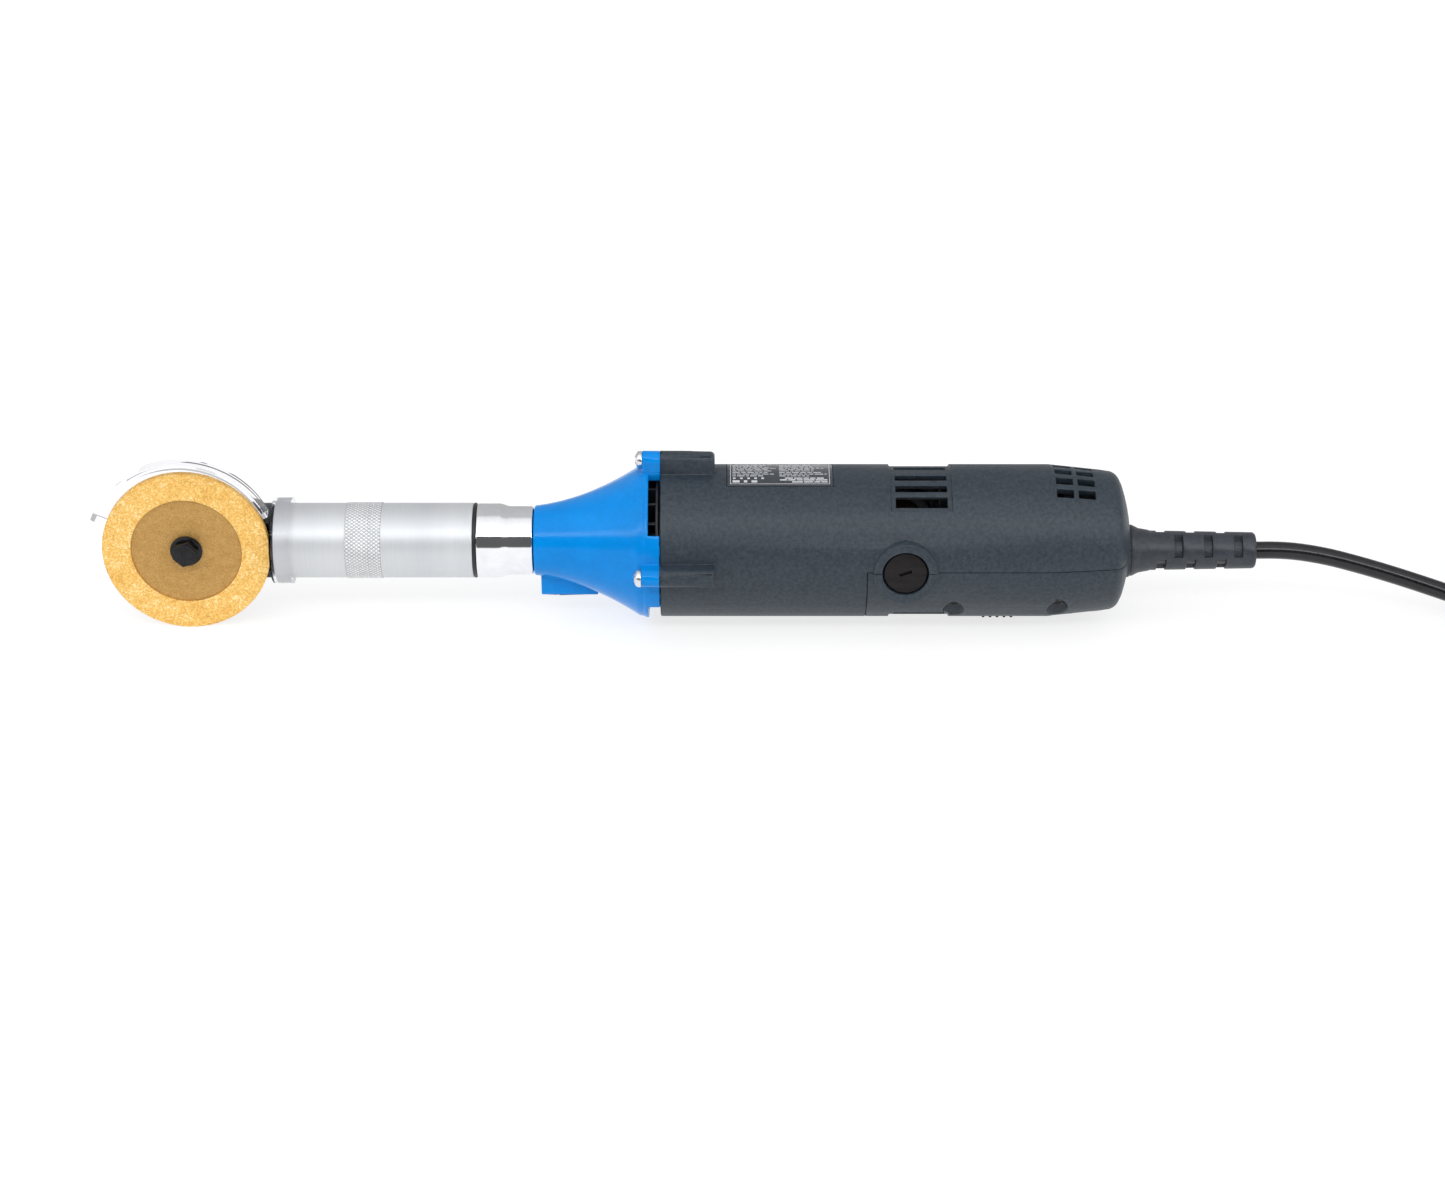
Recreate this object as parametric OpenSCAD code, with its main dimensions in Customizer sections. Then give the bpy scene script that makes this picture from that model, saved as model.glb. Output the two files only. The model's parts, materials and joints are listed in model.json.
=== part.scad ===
// Corded hand grinder: motor barrel, nose housing, rigid tube neck, and an angle head that
// turns a flat grit wheel inside a clear guard.
// The tool's axis runs along X: the head is at -X, the cord at +X. The wheel faces -Y and the
// rating label faces +Z. Places along the axis count from the joint between the nose housing
// and the motor housing, and heights from the axis, until tool() moves them into the model's
// frame, which stands on Z = 0.

/* [Motor housing] */
// Outer diameter of the motor housing
body_d = 65; // [64:0.5:67]
// Length of the motor housing
body_l = 200; // [198:1:206]
// Wall thickness of the motor housing and its cover
wall = 3; // [2.6:0.1:3.2]
// Where the lower cover starts
cover_x = 87; // [86:0.5:88]
// Place of the carbon brushes along the axis
brush_x = 103; // [102:0.5:104]

/* [Nose housing] */
// Length of the nose housing
nose_l = 53.9; // [53:0.1:56]
// Diameter of the flange that meets the motor housing
flange_d = 66; // [65.5:0.5:67]
// Distance of the flange screws from the axis
screw_circle_r = 37.5; // [37:0.1:38]

/* [Neck] */
// Outer diameter of the extension tube
tube_d = 32; // [31.5:0.1:32.5]
// Where the extension tube ends at the motor side
tube_end = -79.8; // [-82:0.1:-79]
// Left end of the knurled band
knurl_start = -133.8; // [-136:0.1:-131]
// Length of the knurled band
knurl_l = 15.3; // [12:0.1:18]

/* [Wheel and guard] */
// Distance from the housing joint to the wheel's axis
wheel_reach = 201.4; // [200:0.1:206]
// Outer diameter of the grinding wheel
wheel_d = 71.4; // [66:0.2:72]
// Inner diameter of the raised grit ring
recess_d = 47.2; // [40:0.2:50]
// Outer diameter of the guard's rim
guard_d = 82; // [81:0.5:84]
// Depth of the guard's rim
guard_depth = 9; // [7:0.5:10]

/* [Drive] */
// Teeth of the bevel pinion on the drive shaft
pinion_teeth = 24; // [24:8:24]
// Teeth of the bevel gear on the spindle
gear_teeth = 32; // [32:8:32]
// Size of a tooth
gear_module = 0.4; // [0.38:0.01:0.4]

/* [Cord] */
// Diameter of the mains cable
cord_d = 7.5; // [7:0.1:8]
// Number of turns side by side in the cord's coil
coil_columns = 2; // [2:1:2]
// Number of turns on top of each other in the cord's coil
coil_layers = 4; // [3:1:5]

/* [Hidden] */

round_fn = 96;      // facets of the large turned shapes
small_fn = 40;      // facets of screws and small holes
seam = 0.2;         // gap between two mouldings
run_gap = 0.05;     // radial clearance of a running fit
free_gap = 0.3;     // clearance between pieces that pass each other
past = 1;           // how far a cut runs past the surface it opens

// Colours
dark_plastic = "#3a424b";
blue_plastic = "#0d7cd6";
steel = "#b9bcc0";
bright_chrome = "#dcdfe3";
satin_aluminium = "#c4c6c9";
black_rubber = "#22252a";
copper = "#b8693a";
brass = "#c9a24a";
carbon = "#35353a";

// Motor housing
body_r = body_d / 2;
inner_r = body_r - wall;
taper_x = body_l - 35;          // where the barrel starts to narrow
taper_end = body_l - 10;        // where the rear rounding starts
rear_r = body_r - 2.8;          // radius at the start of the rear rounding
rear_round = 5.5;               // radius of the rear rounding
dome_r = 76;                    // radius of the domed rear face
lug_angles = [0, 90, 180];
lug_w = 7.6;                    // width of the flange lugs and the bosses behind them
lug_top = screw_circle_r + lug_w / 2; // how far the lugs reach from the axis
boss_l = 23;                    // length of the screw bosses behind the flange
label_x = [28, 73];
label_angles = [69, 111];
label_depth = 0.4;
grille_x = [97, 122.7];         // the recess of the middle air inlet
grille_angles = [47, 133];
grille_depth = 0.9;
// One row for each slot of the middle air inlet: angle of its middle, width
grille_slots = [[81, 3.7], [68, 3.7], [55, 5.1], [99, 3.7], [112, 3.7], [125, 5.1]];
vent_rows = [63, 76.5, 90, 103.5, 117];
vent_columns = [166.8, 176];
vent_size = [7.2, 4.4];         // along the axis, around it
brush_boss_r = 13.5;
brush_boss_face = body_r + 1.5; // how far the brush bosses reach from the axis
brush_hole_r = 9.75;            // mouth of the hole around a cap
brush_cap_r = 9;
brush_cap_top = brush_boss_face - 0.7;
cover_screw_x = [124, 168];
cover_screw_y = 24;
cover_screw_r = 1.6;
switch_x = 141;                 // middle of the switch slider
switch_travel = 7;
relief_z = -4.8;                // height of the cord's outlet from the axis
slot_floor_r = 5.7;             // depth that the strain relief's slots reach
relief_l = 54;                  // length of the strain relief outside the housing
exit_x = body_l + relief_l;     // where the cord leaves the strain relief
commutator_r = 11;
shaft_r = 4;                    // armature shaft
armature_r = 19;
core_x = [30, 85];              // stator and armature laminations
bearing_od = 22;
bearing_t = 7;

// Nose housing and neck
nose_r = 15;
flange_r = flange_d / 2;
flange_t = 7;
outlet_angles = [[28, 83], [97, 152], [215, 325]]; // the fan's outlets, between the lugs
fan_r = 28;
neck_bore_r = 13;               // bore of the tube, and spigots of the adapter and the head
tube_r = tube_d / 2;
tube_start = 37.4 - wheel_reach;
adapter_end = -nose_l - 0.4;    // shoulder of the adapter, clear of the nose
adapter_start = tube_end + 1.5;
spigot_end = -37.5;
drive_r = 3;
front_bearing_x = -22;

// Head
wheel_x = -wheel_reach;
head_r = tube_r;
head_front = -7;                // flat face of the head behind the guard
head_back = 10.5;                // flat face under the head cap
head_end = -wheel_reach + 36.4; // where the head meets the tube
chamber_r = 12;                 // gear chamber
spindle_r = 4;
plate_t = 1.2;                  // guard plate
wheel_back = head_front - plate_t - free_gap;
wheel_front = wheel_back - 3;
recess_face = wheel_front + 0.8;
wheel_r = wheel_d / 2;
guard_r = guard_d / 2;
guard_t = 2;
guard_x = wheel_x - 1.3;        // middle of the guard's rim
guard_front = wheel_back - 6;
guard_arc = [25, 157];          // the guard's rim, counted from +X towards +Z
collar_x = [head_end, head_end + 8];
collar_r = 18.4;
guard_neck_w = 21.8;

// Bevel gears: both cones have their tips where the drive shaft's and the spindle's axes cross
pinion_r = gear_module * pinion_teeth / 2;
gear_r = gear_module * gear_teeth / 2;
gear_taper = 0.75;              // small end over large end

// Frame: the tool is centred on X and stands on the wheel's rim
guard_left = guard_x + guard_r * cos(guard_arc[1]);
shift_x = -(guard_left + exit_x) / 2;
axis_z = wheel_r;

// Cord, in the model's frame. The lead's points count from where it leaves the strain relief.
cord_r = cord_d / 2;
lead_route = [
    [0, 0, 0], [10, 0, 0], [20, 0, -0.9], [32, 0, -3.2], [45, 0, -6.8], [58, 0, -10.9],
    [70, -0.5, -14.8], [82, -2, -18.5], [94, -5, -21.8], [106, -10, -24.6], [117, -16, -26.3],
    [127, -22.5, -27.05], [137, -29, -27.15], [147, -34.3, -27.15], [158, -37.75, -27.15]
];
// The tail's points count from the middle of the coil, on the floor
tail_route = [
    [-29, 37.9, 33.75], [-34, 31.5, 35.5], [-37.4, 24, 38], [-38.6, 16, 41], [-38.8, 9, 43],
    [-38.8, 2, 43]
];
coil_middle = [158, 10];        // from the cord's exit
coil_mean_r = 44;
coil_in = coil_mean_r - coil_columns * cord_r;
coil_out = coil_mean_r + coil_columns * cord_r;
coil_h = coil_layers * cord_d;
tie_t = 1;
tie_angle = 16;
plug_top = coil_h + 13;         // height of the plug's axis
plug_x = -38.8;                 // from the middle of the coil
plug_y = 2;
plug_size = [36, 26];
plug_neck_l = 16;
plug_body_l = 22;
pin_r = 2.4;
pin_gap = 19;
pin_l = 19;

// A point's distance around an arc, as [x, radius] pairs
function arc(middle, r, from, to, steps) =
    [for (i = [0:steps]) middle + r * [cos(from + (to - from) * i / steps),
                                       sin(from + (to - from) * i / steps)]];

// Moves what is drawn around the tool's own axis into the model's frame
module tool() translate([shift_x, 0, axis_z]) children();

// A solid turned around the tool's axis from [x, radius] points
module turned(points, fn = round_fn)
    rotate([0, 90, 0]) rotate_extrude($fn = fn) polygon([for (p = points) [p[1], p[0]]]);

module disc(x0, x1, r, fn = round_fn)
    translate([x0, 0, 0]) rotate([0, 90, 0]) cylinder(h = x1 - x0, r = r, $fn = fn);

module ring(x0, x1, outer, inner, fn = round_fn) difference() {
    disc(x0, x1, outer, fn);
    disc(x0 - past, x1 + past, inner, fn);
}

// A stretch of ring between two angles around the tool: 90 is on top, 0 is on the wheel's side
module ring_part(x0, x1, outer, inner, angles)
    rotate([0, 90, 0]) rotate([0, 0, 270 - angles[1]])
        rotate_extrude(angle = angles[1] - angles[0], $fn = round_fn)
            translate([inner, x0]) square([outer - inner, x1 - x0]);

// Turns what is drawn on top of the tool to each angle
module around(angles) for (a = angles) rotate([90 - a, 0, 0]) children();

// Pulls an outline in the Y-Z plane along the axis
module along(x0, x1)
    translate([x0, 0, 0]) rotate([90, 0, 90]) linear_extrude(height = x1 - x0) children();

// A round bar across the tool at one place along the axis
module cross_bar(x, y0, y1, r, fn = round_fn)
    translate([x, y1, 0]) rotate([90, 0, 0]) cylinder(h = y1 - y0, r = r, $fn = fn);

// A tube of radius r swept along points, closed at both ends
module swept(points, r, sides) {
    n = len(points);
    function heading(i) = let (d = points[min(i + 1, n - 1)] - points[max(i - 1, 0)]) d / norm(d);
    function across(i) = let (c = cross([0, 0, 1], heading(i))) c / norm(c);
    rings = [for (i = [0:n - 1]) for (s = [0:sides - 1])
        points[i] + r * (cos(360 * s / sides) * across(i)
                         + sin(360 * s / sides) * cross(heading(i), across(i)))];
    walls = [for (i = [0:n - 2]) for (s = [0:sides - 1]) let (t = (s + 1) % sides)
        [i * sides + s, (i + 1) * sides + s, (i + 1) * sides + t, i * sides + t]];
    ends = [[for (s = [0:sides - 1]) s], [for (s = [sides - 1:-1:0]) (n - 1) * sides + s]];
    polyhedron(points = rings, faces = concat(walls, ends), convexity = 6);
}

// ---- Motor housing and what it holds ----

// The outside of the barrel, as [x, radius] points
function body_outline() = concat(
    [[0, 0], [0, body_r - 0.4], [0.4, body_r], [taper_x, body_r], [taper_end - 2.3, rear_r + 0.4]],
    arc([taper_end, rear_r - rear_round], rear_round, 90, 20, 6),
    arc([body_l - dome_r, 0], dome_r, 19, 1, 6), [[body_l, 0]]);

module body_hollow() turned([
    [-past, 0], [-past, inner_r], [taper_x - 1, inner_r], [taper_end - 3, rear_r - wall + 0.3],
    [taper_end, rear_r - wall - 1], [body_l - wall, 15], [body_l - wall, 0]]);

// The outline of a flange lug, drawn on top
module lug_outline() {
    translate([-lug_w / 2, 28]) square([lug_w, lug_top - lug_w / 2 - 28]);
    translate([0, lug_top - lug_w / 2]) circle(d = lug_w, $fn = small_fn);
}

module screw_bosses() intersection() {
    around(lug_angles) along(0, boss_l) lug_outline();
    turned(concat([[0, 0], [0, lug_top], [boss_l - 2.2, lug_top - 1]],
                  arc([boss_l - 2.2, lug_top - 3.2], 2.2, 90, 0, 6), [[boss_l, 0]]));
}

module middle_inlet() {
    ring_part(grille_x[0], grille_x[1], body_r + past, body_r - grille_depth, grille_angles);
    for (slot = grille_slots) around([slot[0]])
        translate([grille_x[0] + 2, -slot[1] / 2, inner_r - 5])
            cube([grille_x[1] - grille_x[0] - 4, slot[1], 12]);
}

module rear_inlet()
    around(vent_rows) for (x = vent_columns)
        translate([x, -vent_size[1] / 2, inner_r - 6]) cube([vent_size[0], vent_size[1], 12]);

module cover_screw_wells() for (x = cover_screw_x, y = [-1, 1] * cover_screw_y)
    translate([x, y, -body_r]) cylinder(h = body_r - 15, r = 4.5, $fn = small_fn);

// The barrel with every opening, before it is split along the seam
module whole_housing() difference() {
    union() {
        difference() {
            union() {
                turned(body_outline());
                screw_bosses();
            }
            body_hollow();
        }
        difference() {
            cross_bar(brush_x, -brush_boss_face, brush_boss_face, brush_boss_r);
            disc(brush_x - 20, brush_x + 20, inner_r - 5);
        }
        translate([0, 0, relief_z]) disc(body_l - wall, body_l, 11.5);
        for (x = cover_screw_x, y = [-1, 1] * cover_screw_y) intersection() {
            translate([x, y, -body_r]) cylinder(h = body_r + 6, r = 6, $fn = small_fn);
            disc(cover_x, body_l - 5, inner_r + 1);
        }
    }
    cross_bar(brush_x, -body_d, body_d, brush_cap_r);
    for (y = [30, -30 - body_d]) cross_bar(brush_x, y, y + body_d, brush_hole_r);
    ring_part(label_x[0], label_x[1], body_r + past, body_r - label_depth, label_angles);
    for (side = [0, 180]) rotate([side, 0, 0]) {
        middle_inlet();
        rear_inlet();
    }
    translate([0, 0, relief_z]) disc(body_l - 2 * wall, body_l + past, 8);
    cover_screw_wells();
    for (x = cover_screw_x, y = [-1, 1] * cover_screw_y)
        translate([x, y, -16]) cylinder(h = 20, r = cover_screw_r, $fn = small_fn);
    around(lug_angles) translate([0, 0, screw_circle_r]) disc(-past, 17, 2, small_fn);
    translate([switch_x - 14, -5.9, -body_r - past]) cube([28, 11.8, 8]);
}

module motor_housing() color(dark_plastic) tool() difference() {
    whole_housing();
    translate([cover_x, -body_d, -body_d]) cube([body_l, 2 * body_d, body_d]);
}

module lower_cover() color(dark_plastic) tool() intersection() {
    whole_housing();
    translate([cover_x + seam, -body_d, -body_d]) cube([body_l, 2 * body_d, body_d - seam]);
}

module cover_screws() color(steel) tool() for (x = cover_screw_x, y = [-1, 1] * cover_screw_y)
    translate([x, y, 0]) difference() {
        union() {
            translate([0, 0, -17.4]) cylinder(h = 2.4, r = 3.4, $fn = small_fn);
            translate([0, 0, -15]) cylinder(h = 18, r = cover_screw_r, $fn = small_fn);
        }
        for (a = [0, 90]) rotate([0, 0, a]) translate([-2.2, -0.4, -18]) cube([4.4, 0.8, 1.8]);
    }

module rating_label() color("#2b3036") tool()
    ring_part(label_x[0] + 0.3, label_x[1] - 0.3, body_r - 0.1, body_r - label_depth,
              [label_angles[0] + 0.5, label_angles[1] - 0.5]);

module brush_caps() color("#1c1e22") tool() for (side = [-1, 1])
    translate([brush_x, 0, 0]) rotate([side * 90, 0, 0]) difference() {
        translate([0, 0, inner_r - 5])
            cylinder(h = brush_cap_top - inner_r + 5, r = brush_cap_r, $fn = small_fn);
        rotate([0, 0, 20]) translate([-2.7, -0.65, brush_cap_top - 1.4]) cube([5.4, 1.3, 2]);
    }

module brush_holders() color(brass) tool() for (side = [-1, 1])
    translate([brush_x, 0, 0]) rotate([side * 90, 0, 0]) difference() {
        translate([-6.2, -4.4, 12.5]) cube([12.4, 8.8, inner_r - 17.5]);
        translate([-5.2, -3.4, 12]) cube([10.4, 6.8, inner_r]);
    }

module carbon_brushes() color(carbon) tool() for (side = [-1, 1])
    translate([brush_x, 0, 0]) rotate([side * 90, 0, 0])
        translate([-5, -3.2, commutator_r + 0.3]) cube([10, 6.4, 8]);

module brush_springs() color(steel) tool() for (side = [-1, 1])
    translate([brush_x, 0, 0]) rotate([side * 90, 0, 0])
        swept([for (i = [0:48]) [2.2 * cos(30 * i), 2.2 * sin(30 * i), 19.7 + i / 12]], 0.35, 6);

module stator_core() color("#8a8d92") tool() along(core_x[0], core_x[1]) difference() {
    circle(r = inner_r, $fn = round_fn);
    circle(r = armature_r + 0.6, $fn = round_fn);
    for (side = [-1, 1]) intersection() {
        difference() {
            circle(r = 25.5, $fn = round_fn);
            circle(r = armature_r, $fn = round_fn);
        }
        translate([side * 30, 0]) square([42, 34], center = true);
    }
}

module field_coils() color(copper) tool() for (side = [0, 180]) {
    ring_part(core_x[0] - 5, core_x[1] + 5, 25.5, 20.2, [side - 40, side - 12]);
    ring_part(core_x[0] - 5, core_x[1] + 5, 25.5, 20.2, [side + 12, side + 40]);
}

module air_baffle() color("#2a2d31") tool() ring(3, 5, inner_r, 21);

module ball_bearing(x, bore_r) {
    ring(x, x + bearing_t, bearing_od / 2, bearing_od / 2 - 2.4);
    ring(x + 0.6, x + bearing_t - 0.6, bearing_od / 2 - 2.4, 6.6);
    ring(x, x + bearing_t, 6.6, bore_r);
}

module front_bearing() color(steel) tool() ball_bearing(front_bearing_x, shaft_r + run_gap);

module rear_bearing() color(steel) tool() ball_bearing(121, shaft_r + run_gap);

// A bracket that three arms hold in the upper half of the housing
module bearing_support() color("#2a2d31") tool() difference() {
    along(119, 130) {
        circle(r = 15, $fn = round_fn);
        intersection() {
            circle(r = inner_r, $fn = round_fn);
            for (a = [-50, 0, 50]) rotate(a) translate([-4, 0]) square([8, inner_r + past]);
        }
    }
    disc(118, 128, bearing_od / 2);
    disc(127, 131, 6.5);
}

module switch_body() color("#1f2226") tool() difference() {
    translate([switch_x - 6, -7, -22.5]) cube([26, 14, 16]);
    translate([switch_x + 12, -8, -14]) cube([4, 16, 3]);
}

module suppression_capacitor() color("#c9b458") tool()
    translate([135, -10, 2]) cube([26, 20, 14]);

module cable_clamp() color("#2a2d31") tool() difference() {
    translate([181, -10, relief_z]) cube([8, 20, 7.5]);
    translate([0, 0, relief_z]) disc(180, 190, cord_r);
    for (y = [-7, 7]) translate([185, y, relief_z - past]) cylinder(h = 10, r = 1.5, $fn = small_fn);
}

module clamp_screws() color(steel) tool() for (y = [-7, 7]) translate([185, y, relief_z]) {
    translate([0, 0, 7.5]) cylinder(h = 2, r = 2.8, $fn = small_fn);
    translate([0, 0, -5]) cylinder(h = 12.5, r = 1.5, $fn = small_fn);
}

module inner_cable() color(black_rubber) tool()
    translate([0, 0, relief_z]) disc(172, exit_x, cord_r, small_fn);

// ---- Nose housing ----

// The flare of the cone, as [x, radius] points: it widens faster towards the flange
function nose_flare(from, to, steps) = [for (i = [0:steps]) let (t = i / steps)
    [from + (to - from) * t, nose_r + 0.2 + 6.2 * t + 10.7 * t * t]];

module clamp_boss() {
    half = 6;
    bottom = 23.7;
    along(-nose_l + 2.6, -27) {
        translate([-half, -bottom + 2]) square([2 * half, bottom - 2]);
        translate([-half + 2, -bottom]) square([2 * half - 4, 4]);
        for (y = [-1, 1] * (half - 2)) translate([y, -bottom + 2]) circle(r = 2, $fn = small_fn);
    }
}

module nose_housing() color(blue_plastic) tool() difference() {
    union() {
        turned(concat([[-nose_l, 0], [-nose_l, nose_r - 0.7], [-nose_l + 0.2, nose_r - 0.2],
                       [-nose_l + 0.7, nose_r]],
                      nose_flare(-nose_l + 2.6, -9, 14),
                      [[-flange_t, flange_r - 0.6], [-flange_t + 0.6, flange_r],
                       [-0.3, flange_r], [0, flange_r - 0.3], [0, 0]]));
        around(lug_angles) along(-flange_t - 0.7, 0) lug_outline();
        clamp_boss();
    }
    disc(-nose_l - past, spigot_end + 0.5, neck_bore_r + run_gap);
    disc(spigot_end, front_bearing_x + past, 10);
    disc(front_bearing_x, front_bearing_x + bearing_t, bearing_od / 2);
    turned([[front_bearing_x + bearing_t - 0.01, 0], [front_bearing_x + bearing_t - 0.01, 11],
            [-10, 25], [-5.5, 29.4], [past, 29.4], [past, 0]]);
    for (angles = outlet_angles) ring_part(-5, past, flange_r + 2, 25, angles);
    around(lug_angles) translate([0, 0, screw_circle_r])
        disc(-flange_t - 2, past, 2.2, small_fn);
    translate([-44.5, 0, -30]) cylinder(h = 18, r = 2.5, $fn = small_fn);
    translate([-44.5, 0, -30]) cylinder(h = 11, r = 4.6, $fn = small_fn);
}

module nose_screws() color("#d6d8da") tool() around(lug_angles)
    translate([-flange_t - 0.7, 0, screw_circle_r]) difference() {
        union() {
            rotate([0, 90, 0]) rotate_extrude($fn = small_fn)
                polygon(concat([[0, 0], [3.8, 0], [3.8, -1.2]],
                               [for (i = [1:5]) [3.8 * cos(18 * i), -1.2 - 2 * sin(18 * i)]]));
            disc(0, 22, 2, small_fn);
        }
        for (a = [0, 90]) rotate([a + 20, 0, 0]) translate([-4, -2.1, -0.4]) cube([2.2, 4.2, 0.8]);
    }

module clamp_screw() color(steel) tool() translate([-44.5, 0, 0]) difference() {
    union() {
        translate([0, 0, -23.4]) cylinder(h = 4.4, r = 4.3, $fn = small_fn);
        translate([0, 0, -19]) cylinder(h = 6.4, r = 2.5, $fn = small_fn);
    }
    translate([0, 0, -24]) cylinder(h = 3, r = 2.3, $fn = 6);
}

// ---- Armature ----

module armature_shaft() color(steel) tool() disc(-36, 128, shaft_r);

module armature_core() color("#77797e") tool() along(core_x[0], core_x[1]) difference() {
    circle(r = armature_r, $fn = round_fn);
    circle(r = shaft_r, $fn = round_fn);
    for (a = [0:30:330]) rotate(a) translate([11, -1.3]) square([9, 2.6]);
}

module armature_windings() color(copper) tool() difference() {
    for (end = [[core_x[0] - 9, core_x[0]], [core_x[1], core_x[1] + 8]])
        turned([[end[0], 0], [end[0], 12], [end[0] + 2.5, 16.5], [end[1] - 2, 17.4],
                [end[1], 17.4], [end[1], 0]]);
    disc(core_x[0] - 10, core_x[1] + 9, shaft_r);
}

module commutator() color(copper) tool() along(core_x[1] + 8.5, core_x[1] + 27) difference() {
    circle(r = commutator_r, $fn = round_fn);
    circle(r = shaft_r, $fn = round_fn);
    for (a = [0:15:345]) rotate(a) translate([commutator_r - 1.5, -0.25]) square([2, 0.5]);
}

module cooling_fan() color("#24272b") tool() {
    ring(-1.9, -0.7, fan_r, 8.9);
    ring(-8.5, -0.7, 9, shaft_r);
    along(-7.6, -1.9) for (a = [0:20:340]) rotate(a) translate([14, -0.6]) square([12.5, 1.2]);
}

module coupling_sleeve() color(steel) tool() {
    ring(-36, -24, 6.2, shaft_r);
    difference() {
        disc(-46, -36, 8.2);
        disc(-47, -38, 5.4);
    }
}

// ---- Neck ----

module neck_adapter() color(bright_chrome) tool() difference() {
    turned([[adapter_start - 11, 0], [adapter_start - 11, neck_bore_r], [adapter_start, neck_bore_r],
            [adapter_start, tube_r - 0.4], [adapter_start + 0.4, tube_r], [-68, tube_r],
            [-64.6, 14.8], [adapter_end - 0.4, 14.8], [adapter_end, 14.4],
            [adapter_end, neck_bore_r], [-48.5, neck_bore_r], [-48, 12], [-41, 12],
            [-40.5, neck_bore_r], [spigot_end, neck_bore_r], [spigot_end, 0]]);
    disc(adapter_start - 12, spigot_end + past, 9);
}

module seal_ring() color("#15161a") tool() difference() {
    union() {
        disc(tube_end, adapter_start, tube_r - 0.65);
        rotate([0, 90, 0]) rotate_extrude($fn = round_fn)
            translate([tube_r - 0.65, tube_end + 0.75]) circle(r = 0.75, $fn = small_fn);
    }
    disc(tube_end - past, adapter_start + past, neck_bore_r);
}

module extension_tube() color(satin_aluminium) tool() difference() {
    turned([[tube_start, 0], [tube_start, tube_r - 0.3], [tube_start + 0.3, tube_r],
            [knurl_start, tube_r], [knurl_start + 0.3, tube_r + 0.3],
            [knurl_start + knurl_l - 0.3, tube_r + 0.3], [knurl_start + knurl_l, tube_r],
            [tube_end - 0.4, tube_r], [tube_end, tube_r - 0.4], [tube_end, 0]]);
    disc(tube_start - past, tube_end + past, neck_bore_r);
}

module bearing_carriers() color("#4a4d52") tool() for (x = [-150, -98])
    ring(x, x + 8, neck_bore_r, 6.5);

module small_bearing(x) {
    ring(x, x + 5, 6.5, 5.2, small_fn);
    ring(x + 0.4, x + 4.6, 5.2, 4.2, small_fn);
    ring(x, x + 5, 4.2, drive_r + run_gap, small_fn);
}

module shaft_bearings() color(steel) tool() for (x = [-148.5, -96.5, head_end + 3]) small_bearing(x);

// ---- Head ----

// A round-nosed cylinder with flats at its front and back, and a spigot that enters the tube
module head_blank() difference() {
    turned(concat([[wheel_x + head_r * cos(176), 0]],
                  arc([wheel_x, 0], head_r, 176, 90, 14),
                  [[head_end - 0.8, head_r], [head_end, head_r - 0.8], [head_end, neck_bore_r],
                   [head_end + 12, neck_bore_r], [head_end + 12, 0]]));
    translate([wheel_x - 20, head_front - 20, -20]) cube([head_end - wheel_x + 20, 20, 40]);
    translate([wheel_x - 20, head_back, -20]) cube([20 + 13.5, 20, 40]);
}

module at_cap_screws() for (a = [30:120:270])
    translate([wheel_x, 0, 0]) rotate([0, a, 0]) translate([10, 0, 0]) children();

module head_housing() color("#343a42") tool() difference() {
    head_blank();
    cross_bar(wheel_x, head_front + 1.3, head_back - 3, chamber_r - 1.5);
    cross_bar(wheel_x, head_back - 4, head_back + past, 8);
    cross_bar(wheel_x, head_front - past, head_front + 3, 6);
    disc(wheel_x + 5, head_end + 13, 5.5);
    disc(head_end + 3, head_end + 13, 6.5);
    at_cap_screws() cross_bar(0, head_back - 2.5, head_back + past, 1.2, small_fn);
    for (z = [-8, 8]) translate([0, 0, z])
        cross_bar(wheel_x + 24, head_front - past, head_front + 3, 1.2, small_fn);
}

module head_cap() color("#343a42") tool() difference() {
    union() {
        cross_bar(wheel_x, head_back, head_back + 1.6, 11.9);
        cross_bar(wheel_x, head_back, head_back + 2.2, 11.3);
    }
    at_cap_screws() cross_bar(0, head_back - past, head_back + 4, 1.2, small_fn);
    cross_bar(wheel_x, head_back - past, head_back + 1, 5);
}

module head_cap_screws() color(steel) tool() at_cap_screws() {
    cross_bar(0, head_back + 2.2, head_back + 3.2, 1.3, small_fn);
    cross_bar(0, head_back - 2.5, head_back + 2.2, 1.2, small_fn);
}

module spindle_bush() color(brass) tool() difference() {
    cross_bar(wheel_x, head_front, head_front + 1.3, 6);
    cross_bar(wheel_x, head_front - past, head_front + 3, spindle_r + run_gap);
}

module spindle_bearing() color(steel) tool() difference() {
    cross_bar(wheel_x, head_back - 4, head_back, 8);
    cross_bar(wheel_x, head_back - 5, head_back + past, spindle_r + run_gap);
}

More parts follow.
